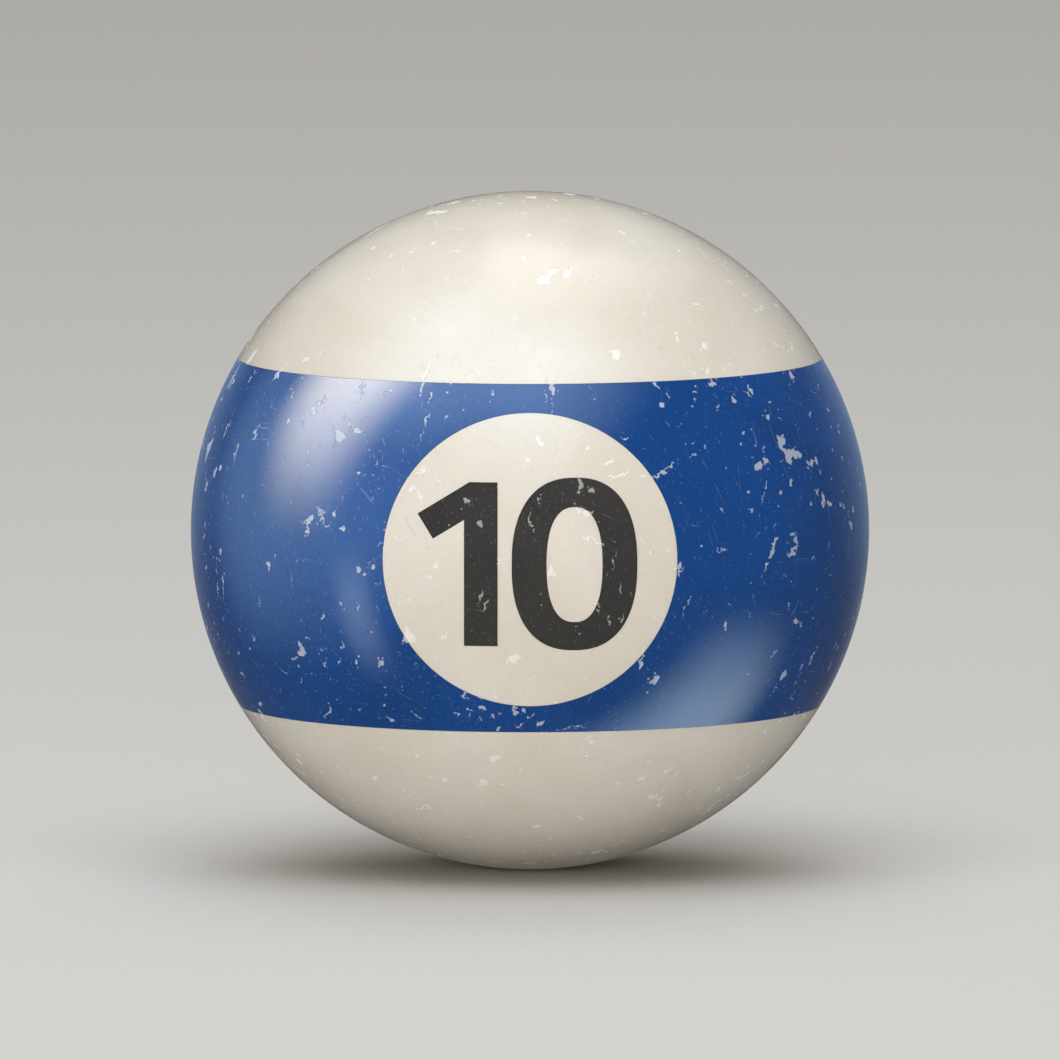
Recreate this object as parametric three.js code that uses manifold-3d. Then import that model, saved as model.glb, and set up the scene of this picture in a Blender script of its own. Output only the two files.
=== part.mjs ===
// A striped, numbered pool ball in cast phenolic resin, 2 1/4 inches across.
//
// The ball is solid all through and nothing in it moves. It is built up from castings of three colours,
// each bonded to the last, and is then ground and polished flush:
//   stripe_core                 the blue barrel through the ball's middle; its rim is the stripe
//   upper_cap, lower_cap        the two white domes on the barrel's flat ends
//   number_plug_*               a white plug let into the rim at the front and at the back
//   digit_one_*, digit_zero_*   the black numerals let into each plug's face
//
// Units are millimetres. The origin is the ball's centre, +Z is the axis that the stripe runs round,
// and the front number faces -Y with +Z as its up and +X on its right. The back number is upside down,
// as on any regulation ball, so that one of the two can be read whichever white dome is on top.

import * as THREE from "three";
import { mergeVertices, toCreasedNormals } from "three/addons/utils/BufferGeometryUtils.js";
import Module from "manifold-3d";

// Driving dimensions.
const BALL_RADIUS = 57.15 / 2;
const STRIPE_HALF_ANGLE = THREE.MathUtils.degToRad(30.7); // seen from the ball's centre
const PLUG_RADIUS = 0.43 * BALL_RADIUS;
const PLUG_DEPTH = 9; // from the ball's surface at the plug's middle down to its flat end
const DIGIT_DEPTH = 4; // the same, for the numerals
const BOND_GAP = 0.1; // the bond line between neighbouring castings

// The numerals' outlines, in plug radii from the plug's middle: x to the right, y up.
const ONE = {
  stemLeft: -0.447,
  stemRight: -0.22,
  bottom: -0.576,
  top: 0.54,
  shoulder: -0.411, // where the flag's upper edge meets the top
  flagAngle: THREE.MathUtils.degToRad(31.8), // the flag's slope
  flagLength: 0.413,
  flagThickness: 0.196,
};
const ZERO = {
  middle: new THREE.Vector2(0.302, -0.017),
  outer: new THREE.Vector2(0.426, 0.588), // half width and half height
  inner: new THREE.Vector2(0.19, 0.392),
  squareness: 2.4, // the superellipse's power: 2 is an ellipse, and more is squarer
};

// How finely the round faces are divided.
const SEGMENTS_AROUND = 64;
const STRIPE_ARC_STEPS = 12; // even, so that one ring of points lies on the equator
const CAP_ARC_STEPS = 12;
const PLUG_SEGMENTS = 48;
const ZERO_SEGMENTS = 36;

const HALF_GAP = BOND_GAP / 2;
const STRIPE_HALF_HEIGHT = BALL_RADIUS * Math.sin(STRIPE_HALF_ANGLE);
const CLEAR_OF_BALL = BALL_RADIUS + 1; // cutting tools start outside the ball
const QUARTER_TURN = Math.PI / 2;
const MERGE_DISTANCE = 1e-4;
const CREASE_ANGLE = THREE.MathUtils.degToRad(40); // sharper edges than this are shaded as edges

const WHITE_RESIN = new THREE.MeshStandardMaterial({ color: 0xded8ca, roughness: 0.12, metalness: 0 });
const BLUE_RESIN = new THREE.MeshStandardMaterial({ color: 0x17427f, roughness: 0.12, metalness: 0 });
const BLACK_RESIN = new THREE.MeshStandardMaterial({ color: 0x1c1c1d, roughness: 0.15, metalness: 0 });

const wasm = await Module();
wasm.setup();

// A closed geometry as a solid that can be joined and cut.
function toSolid(geometry) {
  const bare = geometry.clone();
  bare.deleteAttribute("normal");
  bare.deleteAttribute("uv");
  const merged = mergeVertices(bare, MERGE_DISTANCE);
  return new wasm.Manifold(
    new wasm.Mesh({
      numProp: 3,
      vertProperties: merged.attributes.position.array,
      triVerts: new Uint32Array(merged.index.array),
    }),
  );
}

// The other way: a solid as a geometry.
function toGeometry(solid) {
  const { vertProperties, triVerts } = solid.getMesh();
  const geometry = new THREE.BufferGeometry();
  geometry.setAttribute("position", new THREE.BufferAttribute(vertProperties, 3));
  geometry.setIndex(new THREE.BufferAttribute(triVerts, 1));
  return geometry;
}

// A named sub-part, smooth over its round faces and crisp at its edges.
function piece(name, geometry, material) {
  const mesh = new THREE.Mesh(toCreasedNormals(geometry, CREASE_ANGLE), material);
  mesh.name = name;
  return mesh;
}

// The ball's own outline between two heights, as points for a lathe: x is the distance from the axis.
function ballArc(fromHeight, toHeight, steps) {
  const from = Math.asin(fromHeight / BALL_RADIUS);
  const to = Math.asin(toHeight / BALL_RADIUS);
  const points = [];
  for (let i = 0; i <= steps; i++) {
    const latitude = THREE.MathUtils.lerp(from, to, i / steps);
    points.push(new THREE.Vector2(BALL_RADIUS * Math.cos(latitude), BALL_RADIUS * Math.sin(latitude)));
  }
  return points;
}

// A profile that starts and ends on the axis, turned round +Z.
function turned(profile) {
  return new THREE.LatheGeometry(profile, SEGMENTS_AROUND).rotateX(QUARTER_TURN);
}

// The white dome from the stripe's edge to the pole. Its flat face looks down.
function capGeometry() {
  const base = STRIPE_HALF_HEIGHT + HALF_GAP;
  return turned([new THREE.Vector2(0, base), ...ballArc(base, BALL_RADIUS, CAP_ARC_STEPS)]);
}

// The middle slice of the ball, before anything is let into it.
function barrelSolid() {
  const top = STRIPE_HALF_HEIGHT - HALF_GAP;
  const rim = ballArc(-top, top, STRIPE_ARC_STEPS);
  return toSolid(turned([new THREE.Vector2(0, -top), ...rim, new THREE.Vector2(0, top)]));
}

// A round bar along Y from outside the ball's front to a depth below its surface.
function frontBar(radius, depth) {
  const end = BALL_RADIUS - depth;
  const bar = new THREE.CylinderGeometry(radius, radius, CLEAR_OF_BALL - end, PLUG_SEGMENTS);
  return bar.translate(0, -(CLEAR_OF_BALL + end) / 2, 0);
}

// The same for a flat outline, drawn as it is read from the front.
function frontPrism(shape, depth) {
  const end = BALL_RADIUS - depth;
  const prism = new THREE.ExtrudeGeometry(shape, { depth: CLEAR_OF_BALL - end, bevelEnabled: false });
  return prism.rotateX(QUARTER_TURN).translate(0, -end, 0);
}

// A polygon with all its sides moved outwards by a distance, or inwards where it is negative.
function offsetPolygon(points, distance) {
  return points.map((point, i) => {
    const before = points.at(i - 1);
    const after = points[(i + 1) % points.length];
    const sideIn = point.clone().sub(before).normalize();
    const sideOut = after.clone().sub(point).normalize();
    const normalIn = new THREE.Vector2(sideIn.y, -sideIn.x);
    const normalOut = new THREE.Vector2(sideOut.y, -sideOut.x);
    const bisector = normalIn.clone().add(normalOut).normalize();
    return point.clone().addScaledVector(bisector, distance / bisector.dot(normalIn));
  });
}

// The 1, anticlockwise: a stem, with a flag that slopes down to the left and is cut off square.
function onePoints() {
  const along = new THREE.Vector2(-Math.cos(ONE.flagAngle), -Math.sin(ONE.flagAngle));
  const across = new THREE.Vector2(-along.y, along.x);
  const shoulder = new THREE.Vector2(ONE.shoulder, ONE.top);
  const tip = shoulder.clone().addScaledVector(along, ONE.flagLength);
  const lowerTip = tip.clone().addScaledVector(across, ONE.flagThickness);
  const armpit = lowerTip.y + (ONE.stemLeft - lowerTip.x) * Math.tan(ONE.flagAngle);
  const outline = [
    new THREE.Vector2(ONE.stemRight, ONE.bottom),
    new THREE.Vector2(ONE.stemRight, ONE.top),
    shoulder,
    tip,
    lowerTip,
    new THREE.Vector2(ONE.stemLeft, armpit),
    new THREE.Vector2(ONE.stemLeft, ONE.bottom),
  ];
  return outline.map((point) => point.multiplyScalar(PLUG_RADIUS));
}

// One ring of the 0, anticlockwise: a superellipse with these half sizes.
function zeroPoints(halfSize) {
  const bulge = (value) => Math.sign(value) * Math.abs(value) ** (2 / ZERO.squareness);
  const points = [];
  for (let i = 0; i < ZERO_SEGMENTS; i++) {
    const turn = (2 * Math.PI * i) / ZERO_SEGMENTS;
    const point = new THREE.Vector2(bulge(Math.cos(turn)), bulge(Math.sin(turn)));
    points.push(point.multiply(halfSize).add(ZERO.middle).multiplyScalar(PLUG_RADIUS));
  }
  return points;
}

// The numerals as shapes, grown on every side by a distance, or shrunk where it is negative.
function oneShape(growth) {
  return new THREE.Shape(offsetPolygon(onePoints(), growth));
}

function zeroShape(growth) {
  const shape = new THREE.Shape(offsetPolygon(zeroPoints(ZERO.outer), growth));
  shape.holes.push(new THREE.Path(offsetPolygon(zeroPoints(ZERO.inner), -growth)));
  return shape;
}

// The white plug, cut from the barrel's rim, with a pocket for each numeral.
function plugGeometry(barrel) {
  const bar = toSolid(frontBar(PLUG_RADIUS - HALF_GAP, PLUG_DEPTH - HALF_GAP));
  const pocketDepth = DIGIT_DEPTH + HALF_GAP;
  const onePocket = toSolid(frontPrism(oneShape(HALF_GAP), pocketDepth));
  const zeroPocket = toSolid(frontPrism(zeroShape(HALF_GAP), pocketDepth));
  return toGeometry(barrel.intersect(bar).subtract(onePocket).subtract(zeroPocket));
}

// A numeral that fills its pocket, flush with the ball.
function digitGeometry(barrel, shape) {
  return toGeometry(barrel.intersect(toSolid(frontPrism(shape, DIGIT_DEPTH - HALF_GAP))));
}

// The plug and its two numerals, facing -Y.
function numberInlay(side, barrel) {
  const inlay = new THREE.Group();
  inlay.add(piece("number_plug_" + side, plugGeometry(barrel), WHITE_RESIN));
  inlay.add(piece("digit_one_" + side, digitGeometry(barrel, oneShape(-HALF_GAP)), BLACK_RESIN));
  inlay.add(piece("digit_zero_" + side, digitGeometry(barrel, zeroShape(-HALF_GAP)), BLACK_RESIN));
  return inlay;
}

// The blue barrel, with a round socket for a plug in its front and one in its back.
function stripeCoreGeometry(barrel) {
  const frontSocket = frontBar(PLUG_RADIUS + HALF_GAP, PLUG_DEPTH + HALF_GAP);
  const backSocket = frontSocket.clone().rotateX(Math.PI);
  return toGeometry(barrel.subtract(toSolid(frontSocket)).subtract(toSolid(backSocket)));
}

const barrel = barrelSolid();
const stripeCore = piece("stripe_core", stripeCoreGeometry(barrel), BLUE_RESIN);

const upperCap = piece("upper_cap", capGeometry(), WHITE_RESIN);
const lowerCap = piece("lower_cap", capGeometry(), WHITE_RESIN);
lowerCap.rotation.x = Math.PI;

const frontNumber = numberInlay("front", barrel);
const backNumber = numberInlay("back", barrel);
backNumber.rotation.x = Math.PI;

const ball = new THREE.Group();
ball.add(stripeCore, upperCap, lowerCap, frontNumber, backNumber);

export default ball;
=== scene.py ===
"""A striped, numbered pool ball on a pale studio floor.

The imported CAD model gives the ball's place and size. Each of its castings is made again here as a fine
closed mesh whose outer face lies on the true sphere, so that the ball shows no facets, and is given a
polished phenolic resin with the marks of play. The row frame is used throughout: metres, the origin at the
ball's centre, +Z the axis that the stripe runs round, and the front number facing -Y.
"""
import math

import bmesh
import bpy
import numpy as np
from mathutils import Matrix, Vector
from mathutils.geometry import delaunay_2d_cdt


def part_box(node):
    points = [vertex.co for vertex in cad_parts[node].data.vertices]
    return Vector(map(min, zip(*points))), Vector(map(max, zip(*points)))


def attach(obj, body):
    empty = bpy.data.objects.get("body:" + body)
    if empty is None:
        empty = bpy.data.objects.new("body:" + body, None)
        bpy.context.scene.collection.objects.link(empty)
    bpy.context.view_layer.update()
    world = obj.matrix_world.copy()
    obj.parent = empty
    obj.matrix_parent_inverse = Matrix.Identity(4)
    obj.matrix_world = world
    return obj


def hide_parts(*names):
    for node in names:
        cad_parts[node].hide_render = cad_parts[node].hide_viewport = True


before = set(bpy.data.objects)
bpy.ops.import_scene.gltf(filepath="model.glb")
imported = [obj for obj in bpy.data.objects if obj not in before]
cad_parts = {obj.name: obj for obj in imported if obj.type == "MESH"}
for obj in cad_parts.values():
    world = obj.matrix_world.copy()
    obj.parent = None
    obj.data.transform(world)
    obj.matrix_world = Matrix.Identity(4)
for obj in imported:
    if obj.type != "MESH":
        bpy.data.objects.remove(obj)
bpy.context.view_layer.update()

MM = 0.001

# ---- Sizes. The CAD castings stop half a bond gap short of each bond line, which is put back here.
HALF_CAD_GAP = 0.05 * MM
BALL_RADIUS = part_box("upper_cap")[1].z
STRIPE_HALF_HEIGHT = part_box("stripe_core")[1].z + HALF_CAD_GAP
PLUG_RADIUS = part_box("number_plug_front")[1].x + HALF_CAD_GAP
PLUG_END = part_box("number_plug_front")[1].y  # the flat inner end of the front plug
DIGIT_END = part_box("digit_one_front")[1].y

# The numerals' outlines, in plug radii from the plug's middle: x to the right, z up.
ONE = {
    "stem_left": -0.447,
    "stem_right": -0.22,
    "bottom": -0.576,
    "top": 0.54,
    "shoulder": -0.411,  # where the flag's upper edge meets the top
    "flag_angle": math.radians(31.8),
    "flag_length": 0.413,
    "flag_thickness": 0.196,
}
ZERO_MIDDLE = np.array((0.302, -0.017))
ZERO_OUTER = np.array((0.426, 0.588))  # half width and half height
ZERO_INNER = np.array((0.19, 0.392))
ZERO_SQUARENESS = 2.4  # the superellipse's power

# ---- How fine the meshes are.
HALF_SEAM = 0.01 * MM  # what each casting stops short of the bond line
SPACING = 1.0 * MM  # between the points inside a face
CLEAR_OF_RIM = 0.6 * SPACING  # the least distance from those points to the face's rim
RIM_STEPS = 256  # round the stripe's edges
PLUG_STEPS = 160
DIGIT_SPACING = 0.3 * MM
ZERO_STEPS = 120
MERGE_DISTANCE = HALF_SEAM / 10  # points nearer to each other than this become one

# ---- What delaunay_2d_cdt is asked for: only triangles inside a border, to within so many metres.
INSIDE_BORDERS = 1
TRIANGLE_EPSILON = 1e-9

HALF_TURN = Matrix.Rotation(math.pi, 4, "X")  # takes the front to the back, upside down, and the top down


# ================================================================ outlines, as loops of 2-D points


def circle(radius, steps):
    turns = np.arange(steps) * 2 * math.pi / steps
    return radius * np.stack((np.cos(turns), np.sin(turns)), axis=1)


def divided(corners, spacing):
    """The polygon with each side cut into equal steps no longer than the spacing."""
    points = []
    for start, end in zip(corners, np.roll(corners, -1, axis=0)):
        steps = max(1, math.ceil(math.dist(start, end) / spacing))
        points += [start + (end - start) * i / steps for i in range(steps)]
    return np.array(points)


def grown(corners, distance):
    """The anticlockwise polygon with all its sides moved outwards, or inwards by a negative distance."""
    side_in = corners - np.roll(corners, 1, axis=0)
    side_out = np.roll(side_in, -1, axis=0)
    normal_in, normal_out = (
        np.stack((side[:, 1], -side[:, 0]), axis=1) / np.linalg.norm(side, axis=1, keepdims=True)
        for side in (side_in, side_out)
    )
    bisector = normal_in + normal_out
    stretch = 2 * distance / (bisector**2).sum(axis=1, keepdims=True)
    return corners + bisector * stretch


def one_loops(growth):
    """The 1: a stem, with a flag that slopes down to the left and is cut off square."""
    along = np.array((-math.cos(ONE["flag_angle"]), -math.sin(ONE["flag_angle"])))
    across = np.array((-along[1], along[0]))
    shoulder = np.array((ONE["shoulder"], ONE["top"]))
    tip = shoulder + along * ONE["flag_length"]
    lower_tip = tip + across * ONE["flag_thickness"]
    armpit = lower_tip[1] + (ONE["stem_left"] - lower_tip[0]) * math.tan(ONE["flag_angle"])
    corners = np.array(
        (
            (ONE["stem_right"], ONE["bottom"]),
            (ONE["stem_right"], ONE["top"]),
            shoulder,
            tip,
            lower_tip,
            (ONE["stem_left"], armpit),
            (ONE["stem_left"], ONE["bottom"]),
        )
    )
    return [divided(grown(corners * PLUG_RADIUS, growth), DIGIT_SPACING)]


def zero_loops(growth):
    """The 0: two superellipses, one inside the other."""
    turns = np.arange(ZERO_STEPS) * 2 * math.pi / ZERO_STEPS
    unit = np.stack((np.cos(turns), np.sin(turns)), axis=1)
    loops = []
    for half_size, outwards in ((ZERO_OUTER, growth), (ZERO_INNER, -growth)):
        reach = (np.abs(unit / half_size) ** ZERO_SQUARENESS).sum(axis=1) ** (-1 / ZERO_SQUARENESS)
        ring = (ZERO_MIDDLE + unit * reach[:, None]) * PLUG_RADIUS
        loops.append(grown(ring, outwards))
    return loops


def half_stripe_loops():
    """The stripe's front half unrolled, x along the equator and y along a meridian, and the socket in it."""
    top = BALL_RADIUS * math.asin((STRIPE_HALF_HEIGHT - HALF_SEAM) / BALL_RADIUS)
    side = BALL_RADIUS * math.pi / 2
    across = np.linspace(-side, side, RIM_STEPS // 2 + 1)
    up = np.linspace(-top, top, round(2 * top / SPACING) + 1)
    border = [(x, -top) for x in across[:-1]]
    border += [(side, y) for y in up[:-1]]
    border += [(x, top) for x in across[:0:-1]]
    border += [(-side, y) for y in up[:0:-1]]
    socket = [
        (BALL_RADIUS * math.atan2(point.x, -point.y), BALL_RADIUS * math.asin(point.z / BALL_RADIUS))
        for point in map(on_the_front, circle(PLUG_RADIUS + HALF_SEAM, PLUG_STEPS))
    ]
    return [np.array(border), np.array(socket)]


# ================================================================ from those planes to the ball's surface


def on_the_front(point):
    """Straight back from the plane that the outlines are drawn in."""
    x, z = point
    return Vector((x, -math.sqrt(BALL_RADIUS**2 - x * x - z * z), z))


def on_the_stripe(point):
    """Rolled up round the equator."""
    longitude, latitude = point / BALL_RADIUS
    flat = Vector((math.sin(longitude), -math.cos(longitude), 0)) * math.cos(latitude)
    return BALL_RADIUS * (flat + Vector((0, 0, math.sin(latitude))))


def on_the_dome(point):
    """Wrapped down from the pole."""
    x, y = point
    from_pole = math.hypot(x, y) / BALL_RADIUS
    sideways = math.sin(from_pole) / from_pole if from_pole else 1
    return Vector((x * sideways, y * sideways, BALL_RADIUS * math.cos(from_pole)))


# ================================================================ meshes


def filled(loops):
    """Even triangles over what lies inside an odd number of the loops."""
    rim = np.concatenate(loops)
    low, high = rim.min(axis=0), rim.max(axis=0)
    row_height = SPACING * math.sqrt(3) / 2
    rows = np.arange(low[1], high[1], row_height)
    lattice = np.array(
        [
            (x + (i % 2) * SPACING / 2, y)
            for i, y in enumerate(rows)
            for x in np.arange(low[0], high[0], SPACING)
        ]
    )
    to_rim = np.sqrt(((lattice[:, None] - rim[None]) ** 2).sum(axis=2)).min(axis=1)
    lattice = lattice[to_rim > CLEAR_OF_RIM]
    starts = np.cumsum([0] + [len(loop) for loop in loops])
    borders = [list(range(a, b)) for a, b in zip(starts, starts[1:])]
    points = [Vector(point) for point in (*rim, *lattice)]
    made = delaunay_2d_cdt(points, [], borders, INSIDE_BORDERS, TRIANGLE_EPSILON)
    points, _, triangles, _, _, inside = made
    return points, [t for t, loops_around in zip(triangles, inside) if len(loops_around) % 2]


def skin(loops, to_surface):
    """A bmesh of the ball's own surface inside the loops."""
    points, triangles = filled(loops)
    used = sorted({i for triangle in triangles for i in triangle})
    bm = bmesh.new()
    verts = {i: bm.verts.new(to_surface(np.array(points[i]))) for i in used}
    for triangle in triangles:
        bm.faces.new([verts[i] for i in triangle]).smooth = True
    return bm


def open_edges(bm, wanted=lambda middle: True):
    """The edges of the skin's rims, those whose middle point is wanted."""
    rims = [edge for edge in bm.edges if edge.is_boundary]
    return [edge for edge in rims if wanted((edge.verts[0].co + edge.verts[1].co) / 2)]


def close_flat(bm, edges):
    """Closes rims that lie in one plane with a flat face."""
    made = bmesh.ops.triangle_fill(bm, edges=edges, use_beauty=True)["geom"]
    for face in (item for item in made if isinstance(item, bmesh.types.BMFace)):
        face.smooth = False


def sink(bm, edges, depth):
    """Walls straight back from the rims to the plane y = depth, closed with a flat face there."""
    made = bmesh.ops.extrude_edge_only(bm, edges=edges)["geom"]
    for item in made:
        if isinstance(item, bmesh.types.BMVert):
            item.co.y = depth
        elif isinstance(item, bmesh.types.BMFace):
            item.smooth = False
    close_flat(bm, [item for item in made if isinstance(item, bmesh.types.BMEdge)])


def in_fixed_order(bm):
    """Sorts the mesh by place, because extruded walls come out in another order on each run."""
    for items, place in (
        (bm.verts, lambda vert: vert.co),
        (bm.faces, lambda face: face.calc_center_median()),
    ):
        for rank, item in enumerate(sorted(items, key=lambda item: tuple(place(item)))):
            item.index = rank
        items.sort()


def finished(name, node, bm, material):
    """The bmesh as a piece of the ball that stands for a CAD node, shaded with the true sphere's normals."""
    bm.normal_update()
    bmesh.ops.recalc_face_normals(bm, faces=bm.faces)
    in_fixed_order(bm)
    mesh = bpy.data.meshes.new(name)
    bm.to_mesh(mesh)
    bm.free()
    normals = [
        mesh.vertices[i].co.normalized() if face.use_smooth else face.normal
        for face in mesh.polygons
        for i in face.vertices
    ]
    mesh.normals_split_custom_set(normals)
    mesh.materials.append(material)
    obj = bpy.data.objects.new(name, mesh)
    bpy.context.scene.collection.objects.link(obj)
    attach(obj, "root")
    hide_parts(node)
    return obj


# ================================================================ the castings


def make_caps(material):
    edge = STRIPE_HALF_HEIGHT + HALF_SEAM
    rim = circle(BALL_RADIUS * math.acos(edge / BALL_RADIUS), RIM_STEPS)
    for node, turn in (("upper_cap", Matrix()), ("lower_cap", HALF_TURN)):
        bm = skin([rim], on_the_dome)
        close_flat(bm, open_edges(bm))
        bm.transform(turn)
        finished("polished_" + node, node, bm, material)


def make_stripe(material):
    bm = skin(half_stripe_loops(), on_the_stripe)
    half = bmesh.ops.duplicate(bm, geom=bm.verts[:] + bm.edges[:] + bm.faces[:])["geom"]
    back = [item for item in half if isinstance(item, bmesh.types.BMVert)]
    bmesh.ops.transform(bm, matrix=HALF_TURN, verts=back)
    bmesh.ops.remove_doubles(bm, verts=bm.verts, dist=MERGE_DISTANCE)
    edge_height = STRIPE_HALF_HEIGHT - 2 * HALF_SEAM  # the sockets' rims lie lower than this
    sink(bm, open_edges(bm, lambda at: abs(at.z) < edge_height and at.y < 0), PLUG_END)
    sink(bm, open_edges(bm, lambda at: abs(at.z) < edge_height and at.y > 0), -PLUG_END)
    close_flat(bm, open_edges(bm, lambda at: at.z > 0))
    close_flat(bm, open_edges(bm, lambda at: at.z < 0))
    return finished("polished_stripe_core", "stripe_core", bm, material)


def make_plug(side, turn, material):
    rim = circle(PLUG_RADIUS - HALF_SEAM, PLUG_STEPS)
    bm = skin([rim, *one_loops(HALF_SEAM), *zero_loops(HALF_SEAM)], on_the_front)
    near_rim = 0.95 * PLUG_RADIUS  # no pocket reaches so far out
    outer = open_edges(bm, lambda at: math.hypot(at.x, at.z) > near_rim)
    pockets = open_edges(bm, lambda at: math.hypot(at.x, at.z) < near_rim)
    sink(bm, outer, PLUG_END - 2 * HALF_SEAM)
    sink(bm, pockets, DIGIT_END + 2 * HALF_SEAM)
    bm.transform(turn)
    node = "number_plug_" + side
    finished("polished_" + node, node, bm, material)


def make_digit(node, loops, turn, material):
    bm = skin(loops, on_the_front)
    sink(bm, open_edges(bm), DIGIT_END)
    bm.transform(turn)
    finished("polished_" + node, node, bm, material)


# ================================================================ materials

# ---- How the marks of play look.
SCRATCH_STEP = 0.06  # how far the noise has to rise for a scratch to come up to its full strength
CHIP_STEP = 0.012  # the same for a chip, whose edge is crisper
CROWDING = 0.06  # how much the noise is raised where the chips crowd
NICK_SLOPE = 0.25  # the width of a nick's edge, as a share of the largest nick's radius
NICK_DEPTH = 0.03 * MM
SCRATCH_DEPTH = 0.12  # as a share of a nick's
SCRATCH_TINT, NICK_TINT = 0.35, 0.8  # how much of their own colour they show
POLISHED, DULLED = 0.08, 0.15  # the roughness, where the polish is fresh and where it is worn
SCRATCH_ROUGHNESS, NICK_ROUGHNESS = 0.2, 0.45  # what they add to it


def add(tree, kind, inputs=None, **settings):
    """A new node. Each input is a plain value or another node's output."""
    node = tree.nodes.new(kind)
    for name, value in settings.items():
        setattr(node, name, value)
    for name, value in (inputs or {}).items():
        if isinstance(value, bpy.types.NodeSocket):
            tree.links.new(value, node.inputs[name])
        else:
            node.inputs[name].default_value = value
    return node


def calculate(tree, operation, a, b=0.0):
    return add(tree, "ShaderNodeMath", {0: a, 1: b}, operation=operation).outputs[0]


def ramp(tree, value, low, high, to_low=0.0, to_high=1.0):
    """A smooth step: to_low where the value is under low, to_high where it is over high."""
    inputs = {"Value": value, "From Min": low, "From Max": high, "To Min": to_low, "To Max": to_high}
    return add(tree, "ShaderNodeMapRange", inputs, interpolation_type="SMOOTHSTEP").outputs["Result"]


def noise(tree, where, scale, detail=2.0):
    """Soft noise from about 0.3 to 0.7, with the scale in blotches per millimetre."""
    inputs = {"Vector": where, "Scale": scale, "Detail": detail, "Roughness": 0.55}
    return add(tree, "ShaderNodeTexNoise", inputs).outputs["Fac"]


def blend(tree, amount, a, b):
    """Colour a where the amount is 0, and b where it is 1."""
    node = add(tree, "ShaderNodeMix", data_type="RGBA")
    for name, value in (("Factor_Float", amount), ("A_Color", a), ("B_Color", b)):
        socket = next(s for s in node.inputs if s.identifier == name)
        if isinstance(value, bpy.types.NodeSocket):
            tree.links.new(value, socket)
        else:
            socket.default_value = value
    return next(s for s in node.outputs if s.identifier == "Result_Color")


def in_millimetres(tree):
    """Where a point of the ball is, in the row frame, in millimetres."""
    place = add(tree, "ShaderNodeTexCoord").outputs["Object"]
    inputs = {0: place, "Scale": 1 / MM}
    return add(tree, "ShaderNodeVectorMath", inputs, operation="SCALE").outputs[0]


def swayed(tree, where, scale, reach):
    """The place pushed about by up to half of reach millimetres, so that straight marks bend."""
    inputs = {"Vector": where, "Scale": scale, "Detail": 1.0}
    push = add(tree, "ShaderNodeTexNoise", inputs).outputs["Color"]
    inputs = {0: push, 1: (reach, reach, reach), 2: where}
    return add(tree, "ShaderNodeVectorMath", inputs, operation="MULTIPLY_ADD").outputs[0]


def hairlines(tree, where, turn, length, width, cover):
    """Fine scratches along one direction. A lower cover leaves more of them."""
    inputs = {"Vector": where, "Rotation": turn, "Scale": (length, width, width)}
    streaks = add(tree, "ShaderNodeMapping", inputs, vector_type="TEXTURE").outputs[0]
    return ramp(tree, noise(tree, streaks, 1.0, detail=0.0), cover, cover + SCRATCH_STEP)


def nicks(tree, where, turn, apart, largest, stretch, share):
    """Small dents at random places, about so far apart. Only that share of them is there."""
    mapping = {"Vector": where, "Rotation": turn, "Scale": (stretch, 1.0, 1.0)}
    place = add(tree, "ShaderNodeMapping", mapping, vector_type="TEXTURE").outputs[0]
    cells = add(tree, "ShaderNodeTexVoronoi", {"Vector": place, "Scale": 1 / apart})
    luck = add(tree, "ShaderNodeSeparateColor", {"Color": cells.outputs["Color"]}).outputs["Red"]
    size = ramp(tree, luck, 1 - share, 1.0, 0.0, largest / apart)
    depth = calculate(tree, "SUBTRACT", size, cells.outputs["Distance"])
    return ramp(tree, depth, 0.0, NICK_SLOPE * largest / apart)


def chips(tree, where, scale, crowd, cover):
    """Ragged chips in clusters, each with its own smaller chips about it. A lower cover leaves more."""
    lumps = noise(tree, where, scale, detail=5.0)
    raised = calculate(tree, "ADD", lumps, calculate(tree, "MULTIPLY", crowd, CROWDING))
    return ramp(tree, raised, cover, cover + CHIP_STEP)


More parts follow.
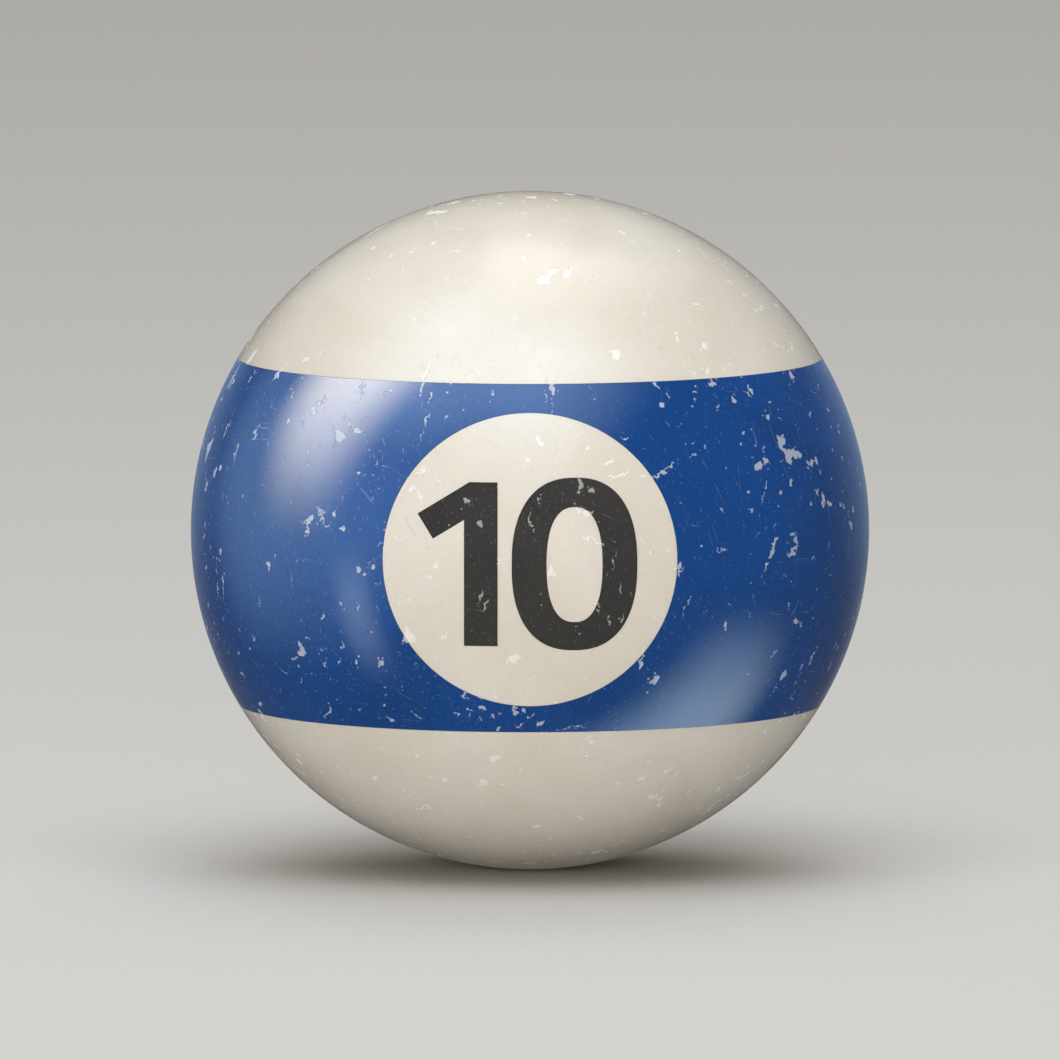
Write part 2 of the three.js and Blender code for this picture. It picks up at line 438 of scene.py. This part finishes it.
def wear_group():
    """The marks of play, which run on from one casting to the next: hairline scratches and small nicks,
    where the polish has dulled, and the height of it all."""
    group = bpy.data.node_groups.new("marks_of_play", "ShaderNodeTree")
    for name in ("Nicks", "Hairlines", "Dulling", "Height"):
        group.interface.new_socket(name, in_out="OUTPUT", socket_type="NodeSocketFloat")
    where = in_millimetres(group)
    bent = swayed(group, where, scale=0.06, reach=14.0)
    ragged = swayed(group, where, scale=2.2, reach=0.9)
    curly = swayed(group, ragged, scale=0.1, reach=18.0)

    crowd = ramp(group, noise(group, where, 0.07), 0.38, 0.64)
    large = chips(group, where, scale=0.45, crowd=crowd, cover=0.695)
    medium = nicks(group, ragged, turn=(1.3, 0.3, 2.1), apart=2.2, largest=0.3, stretch=1.4, share=0.5)
    small = nicks(group, where, turn=(0.0, 0.0, 0.0), apart=1.1, largest=0.12, stretch=1.0, share=0.5)
    scuffs = hairlines(group, curly, turn=(0.9, -1.1, 0.6), length=7.0, width=0.7, cover=0.76)
    nick = large
    for kind in (medium, small, scuffs):
        nick = calculate(group, "MAXIMUM", nick, kind)

    lines = hairlines(group, bent, turn=(0.3, 0.5, 0.9), length=30.0, width=0.2, cover=0.76)
    for turn in ((1.2, -0.4, 2.3), (2.2, 0.9, -0.7), (-0.6, 1.9, 0.4)):
        more = hairlines(group, bent, turn, length=18.0, width=0.16, cover=0.77)
        lines = calculate(group, "MAXIMUM", lines, more)

    dulling = ramp(group, noise(group, where, 0.14, detail=5.0), 0.36, 0.68)
    nick_height = calculate(group, "MULTIPLY", nick, -1.0)
    line_depth = calculate(group, "MULTIPLY", lines, SCRATCH_DEPTH)
    height = calculate(group, "SUBTRACT", nick_height, line_depth)
    out = add(group, "NodeGroupOutput")
    for name, value in (("Nicks", nick), ("Hairlines", lines), ("Dulling", dulling), ("Height", height)):
        group.links.new(value, out.inputs[name])
    return group


def resin(name, wear, colour, cloud, mark, dirt, subsurface):
    """Polished cast phenolic resin. cloud is the colour that its mottling drifts to, mark that of a fresh
    nick, and dirt that of a scratch."""
    material = bpy.data.materials.new(name)
    material.use_nodes = True
    tree = material.node_tree
    tree.nodes.clear()
    where = in_millimetres(tree)
    marks = add(tree, "ShaderNodeGroup", node_tree=wear).outputs

    swirl = swayed(tree, where, scale=0.05, reach=30.0)
    mottling = ramp(tree, noise(tree, swirl, 0.07, detail=4.0), 0.35, 0.7)
    base = blend(tree, mottling, colour, cloud)
    grain = ramp(tree, noise(tree, where, 1.6, detail=3.0), 0.3, 0.7, 0.0, 0.18)
    base = blend(tree, grain, base, cloud)
    base = blend(tree, calculate(tree, "MULTIPLY", marks["Hairlines"], SCRATCH_TINT), base, dirt)
    base = blend(tree, calculate(tree, "MULTIPLY", marks["Nicks"], NICK_TINT), base, mark)

    rough = ramp(tree, marks["Dulling"], 0.0, 1.0, POLISHED, DULLED)
    for kind, roughness in (("Hairlines", SCRATCH_ROUGHNESS), ("Nicks", NICK_ROUGHNESS)):
        rough = calculate(tree, "ADD", rough, calculate(tree, "MULTIPLY", marks[kind], roughness))
    inputs = {"Height": marks["Height"], "Distance": NICK_DEPTH, "Strength": 1.0}
    bump = add(tree, "ShaderNodeBump", inputs)

    inputs = {
        "Base Color": base,
        "Roughness": rough,
        "Normal": bump.outputs[0],
        "IOR": 1.6,
        "Subsurface Weight": subsurface,
        "Subsurface Radius": (1.0, 0.8, 0.6),
        "Subsurface Scale": 0.8 * MM,
    }
    shader = add(tree, "ShaderNodeBsdfPrincipled", inputs)
    out = add(tree, "ShaderNodeOutputMaterial")
    tree.links.new(shader.outputs[0], out.inputs["Surface"])
    return material


def floor_material():
    """Pale, matt, seamless paper."""
    material = bpy.data.materials.new("pale_paper")
    material.use_nodes = True
    tree = material.node_tree
    shader = tree.nodes["Principled BSDF"]
    fibres = noise(tree, in_millimetres(tree), 0.8, detail=4.0)
    tone = blend(tree, fibres, (0.63, 0.62, 0.6, 1), (0.67, 0.66, 0.64, 1))
    tree.links.new(tone, shader.inputs["Base Color"])
    shader.inputs["Roughness"].default_value = 0.9
    shader.inputs["Specular IOR Level"].default_value = 0.0
    return material


# ================================================================ the studio


def direction(azimuth, elevation):
    """From the ball: azimuth 0 is towards the camera's side, -Y, and 90 is to the right of it, +X."""
    a, e = math.radians(azimuth), math.radians(elevation)
    return Vector((math.sin(a) * math.cos(e), -math.cos(a) * math.cos(e), math.sin(e)))


def look_at_ball(obj, azimuth, elevation, distance):
    """Puts a light or the camera there, facing the ball's middle."""
    towards = direction(azimuth, elevation)
    obj.location = towards * distance
    obj.rotation_mode = "QUATERNION"
    obj.rotation_quaternion = towards.to_track_quat("Z", "Y")
    bpy.context.scene.collection.objects.link(obj)


def softbox(name, azimuth, elevation, distance, width, height, power, colour, foot=1.0):
    """A soft light that fades out towards its edges, and towards its foot where foot is under 1."""
    light = bpy.data.lights.new(name, "AREA")
    light.shape, light.size, light.size_y = "RECTANGLE", width, height
    light.energy, light.color = power, colour
    light.use_nodes = True
    tree = light.node_tree
    across = add(tree, "ShaderNodeSeparateXYZ", {0: add(tree, "ShaderNodeNewGeometry").outputs["Parametric"]})
    strength = ramp(tree, across.outputs["Y"], 0.0, 1.0, foot, 1.0)
    full_to, half = 0.05, 0.5  # from the middle, in widths: where the light starts to fade, and its edge
    for axis in ("X", "Y"):
        from_middle = calculate(tree, "ABSOLUTE", calculate(tree, "SUBTRACT", across.outputs[axis], half))
        fade = ramp(tree, from_middle, full_to, half, 1.0, 0.0)
        strength = calculate(tree, "MULTIPLY", strength, fade)
    tree.links.new(strength, tree.nodes["Emission"].inputs["Strength"])
    obj = bpy.data.objects.new(name, light)
    obj.visible_camera = False
    look_at_ball(obj, azimuth, elevation, distance)
    return obj


def filler(*arguments):
    """A soft light that the polish doesn't mirror."""
    softbox(*arguments).visible_glossy = False


def reflection(*arguments, **settings):
    """A soft light that shows only as a reflection in the polish."""
    light = softbox(*arguments, **settings)
    light.visible_diffuse = False
    return light


def stripe_reflections(stripe):
    """The highlights in the blue. They stop at its edges, as on the drawn ball that this one is made from."""
    receivers = bpy.data.collections.new("stripe_only")
    receivers.objects.link(stripe)
    for light in (
        reflection("left_strip", -87, 37, 0.7, 0.7, 1.25, 46, (1.0, 0.91, 0.7), foot=0.25),
        reflection("left_glow", -80, 14, 0.8, 2.8, 2.0, 29, (0.48, 0.72, 1.0)),
        reflection("low_left", -63, -22, 0.7, 0.25, 0.6, 0.75, (0.85, 0.95, 1.0)),
        reflection("low_right", 87, -54, 0.7, 0.75, 1.1, 7.6, (0.77, 0.98, 1.0)),
        reflection("rim_glow", 180, 4, 1.2, 4.0, 1.0, 4, (0.35, 0.6, 1.0)),
    ):
        light.light_linking.receiver_collection = receivers


def make_lights(stripe):
    """The lights, each by azimuth, elevation, distance, width, height, power and colour."""
    filler("key", -4, 69, 0.9, 1.7, 1.3, 20.6, (0.98, 0.99, 1.0))
    softbox("overhead", 165, 76, 1.5, 1.4, 1.4, 12, (1.0, 0.98, 0.95))
    filler("front_fill", -10, 2, 1.5, 2.4, 1.2, 64, (1.0, 0.955, 0.89))
    filler("back_fill", 180, 50, 2.2, 3.0, 2.0, 40, (1.0, 0.99, 0.97))
    reflection("sky", -25, 62, 0.9, 2.2, 1.4, 33, (0.6, 0.79, 1.0))
    stripe_reflections(stripe)


def make_floor():
    """Paper that runs on past the picture's edges."""
    bm = bmesh.new()
    bmesh.ops.create_circle(bm, cap_ends=True, segments=96, radius=6.0)
    mesh = bpy.data.meshes.new("floor")
    bm.to_mesh(mesh)
    bm.free()
    floor = bpy.data.objects.new("floor", mesh)
    floor.location.z = -BALL_RADIUS
    floor.data.materials.append(floor_material())
    floor.visible_glossy = False  # its reflection would pale the stripe's lower half
    bpy.context.scene.collection.objects.link(floor)


def make_world():
    """A dim, warm glow from all round."""
    world = bpy.data.worlds.new("studio")
    bpy.context.scene.world = world
    world.use_nodes = True
    background = world.node_tree.nodes["Background"]
    background.inputs["Color"].default_value = (1.0, 0.96, 0.92, 1)
    background.inputs["Strength"].default_value = 0.12


def make_camera():
    """A long lens from far off, a little above the ball's middle, for a view with next to no perspective."""
    camera = bpy.data.cameras.new("camera")
    camera.lens = 1000
    share_of_width = 0.64  # how much of the picture the ball spans
    distance = camera.lens / camera.sensor_width * 2 * BALL_RADIUS / share_of_width
    obj = bpy.data.objects.new("camera", camera)
    look_at_ball(obj, azimuth=0, elevation=5.5, distance=distance)
    bpy.context.scene.camera = obj


wear = wear_group()
ivory = resin(
    "ivory_resin", wear,
    colour=(0.8, 0.765, 0.695, 1), cloud=(0.745, 0.695, 0.605, 1),
    mark=(0.9, 0.89, 0.87, 1), dirt=(0.45, 0.4, 0.33, 1), subsurface=0.12,
)
blue = resin(
    "blue_resin", wear,
    colour=(0.005, 0.063, 0.272, 1), cloud=(0.004, 0.052, 0.22, 1),
    mark=(0.5, 0.55, 0.66, 1), dirt=(0.12, 0.17, 0.3, 1), subsurface=0.04,
)
black = resin(
    "black_resin", wear,
    colour=(0.036, 0.036, 0.036, 1), cloud=(0.044, 0.043, 0.041, 1),
    mark=(0.42, 0.41, 0.39, 1), dirt=(0.12, 0.12, 0.115, 1), subsurface=0.0,
)

make_caps(ivory)
stripe = make_stripe(blue)
for side, turn in (("front", Matrix()), ("back", HALF_TURN)):
    make_plug(side, turn, ivory)
    make_digit("digit_one_" + side, one_loops(-HALF_SEAM), turn, black)
    make_digit("digit_zero_" + side, zero_loops(-HALF_SEAM), turn, black)

make_floor()
make_world()
make_camera()
make_lights(stripe)
bpy.context.scene.view_settings.view_transform = "Standard"
